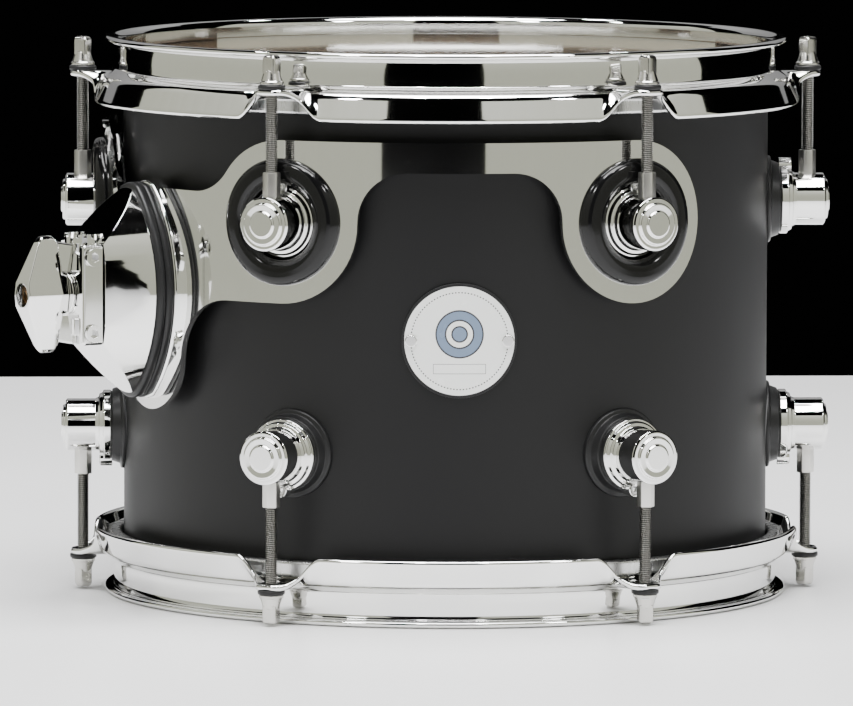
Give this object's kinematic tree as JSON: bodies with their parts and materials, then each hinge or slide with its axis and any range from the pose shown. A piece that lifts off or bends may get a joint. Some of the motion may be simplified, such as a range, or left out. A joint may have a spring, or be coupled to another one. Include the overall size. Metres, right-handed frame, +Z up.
{
  "type": "rack tom drum",
  "caption": "Shallow wooden rack tom with flanged chrome hoops, turned lugs, tension rods and a rubber-isolated suspension bracket with a wing-nut arm clamp.",
  "frame": {"origin": "on the drum's axis, in the plane of the resonant rim it stands on", "axes": "+Z up along the shell to the batter head, -Y towards the badge, arm clamp 60 degrees round towards -X"},
  "size_m": [0.319, 0.2772, 0.2175],
  "materials": {
    "shell": "satin black lacquer outside, clear-coated maple ply inside",
    "head_film": "clear polyester film",
    "flesh_hoop": "plain rolled channel",
    "hoop_chrome": "mirror chrome on pressed steel",
    "lug_chrome": "mirror chrome on turned brass",
    "rod_steel": "nickel plated, fine rolled thread",
    "sleeve_nickel": "satin nickel",
    "nylon": "black nylon",
    "rubber": "smooth moulded black rubber",
    "fastener_steel": "bright zinc",
    "bracket_chrome": "mirror chrome on steel plate",
    "clamp_chrome": "mirror chrome on zinc casting",
    "bush_chrome": "chrome with serrated edge",
    "badge_black": "black",
    "badge_face": null,
    "vent_chrome": "mirror chrome"
  },
  "bodies": {
    "drum": {"air_vent": "vent_chrome", "arm_bushing": "bush_chrome", "badge": "badge_face", "badge_backing": "badge_black", "badge_screws": "fastener_steel", "batter_flesh_hoop": "flesh_hoop", "batter_head": "head_film", "batter_hoop": "hoop_chrome", "batter_lug_1": "lug_chrome", "batter_lug_2": "lug_chrome", "batter_lug_3": "lug_chrome", "batter_lug_4": "lug_chrome", "batter_lug_5": "lug_chrome", "batter_lug_6": "lug_chrome", "batter_rod_washers": "nylon", "batter_sleeves": "sleeve_nickel", "clamp_gasket_inner": "rubber", "clamp_gasket_outer": "rubber", "clamp_housing": "clamp_chrome", "clamp_lock_studs": "fastener_steel", "clamp_mount_screws": "fastener_steel", "clamp_plate": "clamp_chrome", "clamp_screws": "fastener_steel", "isolation_grommet_1": "rubber", "isolation_grommet_2": "rubber", "isolation_grommet_3": "rubber", "isolation_grommet_4": "rubber", "lug_gaskets": "rubber", "lug_screws": "fastener_steel", "lug_set_screws": "fastener_steel", "lug_washers": "fastener_steel", "resonant_flesh_hoop": "flesh_hoop", "resonant_head": "head_film", "resonant_hoop": "hoop_chrome", "resonant_lug_1": "lug_chrome", "resonant_lug_2": "lug_chrome", "resonant_lug_3": "lug_chrome", "resonant_lug_4": "lug_chrome", "resonant_lug_5": "lug_chrome", "resonant_lug_6": "lug_chrome", "resonant_rod_washers": "nylon", "resonant_sleeves": "sleeve_nickel", "shell": "shell", "suspension_bracket": "bracket_chrome", "wing_nut_washer": "fastener_steel"},
    "batter_rod_1": {"batter_rod_1": "rod_steel"},
    "batter_rod_2": {"batter_rod_2": "rod_steel"},
    "batter_rod_3": {"batter_rod_3": "rod_steel"},
    "batter_rod_4": {"batter_rod_4": "rod_steel"},
    "batter_rod_5": {"batter_rod_5": "rod_steel"},
    "batter_rod_6": {"batter_rod_6": "rod_steel"},
    "resonant_rod_1": {"resonant_rod_1": "rod_steel"},
    "resonant_rod_2": {"resonant_rod_2": "rod_steel"},
    "resonant_rod_3": {"resonant_rod_3": "rod_steel"},
    "resonant_rod_4": {"resonant_rod_4": "rod_steel"},
    "resonant_rod_5": {"resonant_rod_5": "rod_steel"},
    "resonant_rod_6": {"resonant_rod_6": "rod_steel"},
    "wing_nut": {"wing_nut": "clamp_chrome"},
    "eye_bolt": {"eye_bolt": "fastener_steel"}
  },
  "joints": [
    {"name": "batter_rod_1_turn", "type": "hinge", "parent": "drum", "child": "batter_rod_1", "pos_m": [-0.071, 0.12298, 0.2055], "axis": [0, 0, 1], "continuous": true},
    {"name": "batter_rod_2_turn", "type": "hinge", "parent": "drum", "child": "batter_rod_2", "pos_m": [-0.142, 0, 0.2055], "axis": [0, 0, 1], "continuous": true},
    {"name": "batter_rod_3_turn", "type": "hinge", "parent": "drum", "child": "batter_rod_3", "pos_m": [-0.071, -0.12298, 0.2055], "axis": [0, 0, 1], "continuous": true},
    {"name": "batter_rod_4_turn", "type": "hinge", "parent": "drum", "child": "batter_rod_4", "pos_m": [0.071, -0.12298, 0.2055], "axis": [0, 0, 1], "continuous": true},
    {"name": "batter_rod_5_turn", "type": "hinge", "parent": "drum", "child": "batter_rod_5", "pos_m": [0.142, 0, 0.2055], "axis": [0, 0, 1], "continuous": true},
    {"name": "batter_rod_6_turn", "type": "hinge", "parent": "drum", "child": "batter_rod_6", "pos_m": [0.071, 0.12298, 0.2055], "axis": [0, 0, 1], "continuous": true},
    {"name": "resonant_rod_1_turn", "type": "hinge", "parent": "drum", "child": "resonant_rod_1", "pos_m": [-0.071, 0.12298, 0.012], "axis": [0, 0, 1], "continuous": true},
    {"name": "resonant_rod_2_turn", "type": "hinge", "parent": "drum", "child": "resonant_rod_2", "pos_m": [-0.142, 0, 0.012], "axis": [0, 0, 1], "continuous": true},
    {"name": "resonant_rod_3_turn", "type": "hinge", "parent": "drum", "child": "resonant_rod_3", "pos_m": [-0.071, -0.12298, 0.012], "axis": [0, 0, 1], "continuous": true},
    {"name": "resonant_rod_4_turn", "type": "hinge", "parent": "drum", "child": "resonant_rod_4", "pos_m": [0.071, -0.12298, 0.012], "axis": [0, 0, 1], "continuous": true},
    {"name": "resonant_rod_5_turn", "type": "hinge", "parent": "drum", "child": "resonant_rod_5", "pos_m": [0.142, 0, 0.012], "axis": [0, 0, 1], "continuous": true},
    {"name": "resonant_rod_6_turn", "type": "hinge", "parent": "drum", "child": "resonant_rod_6", "pos_m": [0.071, 0.12298, 0.012], "axis": [0, 0, 1], "continuous": true},
    {"name": "wing_nut_turn", "type": "hinge", "parent": "drum", "child": "wing_nut", "pos_m": [-0.15588, -0.09, 0.1235], "axis": [-0.866, -0.5, 0], "range_deg": [0, 360]},
    {"name": "eye_bolt_slide", "type": "slide", "parent": "drum", "child": "eye_bolt", "axis": [0.866, 0.5, 0], "range_m": [0, 0.00125]}
  ],
  "couplings": [
    {"joint": "wing_nut_turn", "follows": "eye_bolt_slide", "rad_per_m": 5026.5}
  ]
}
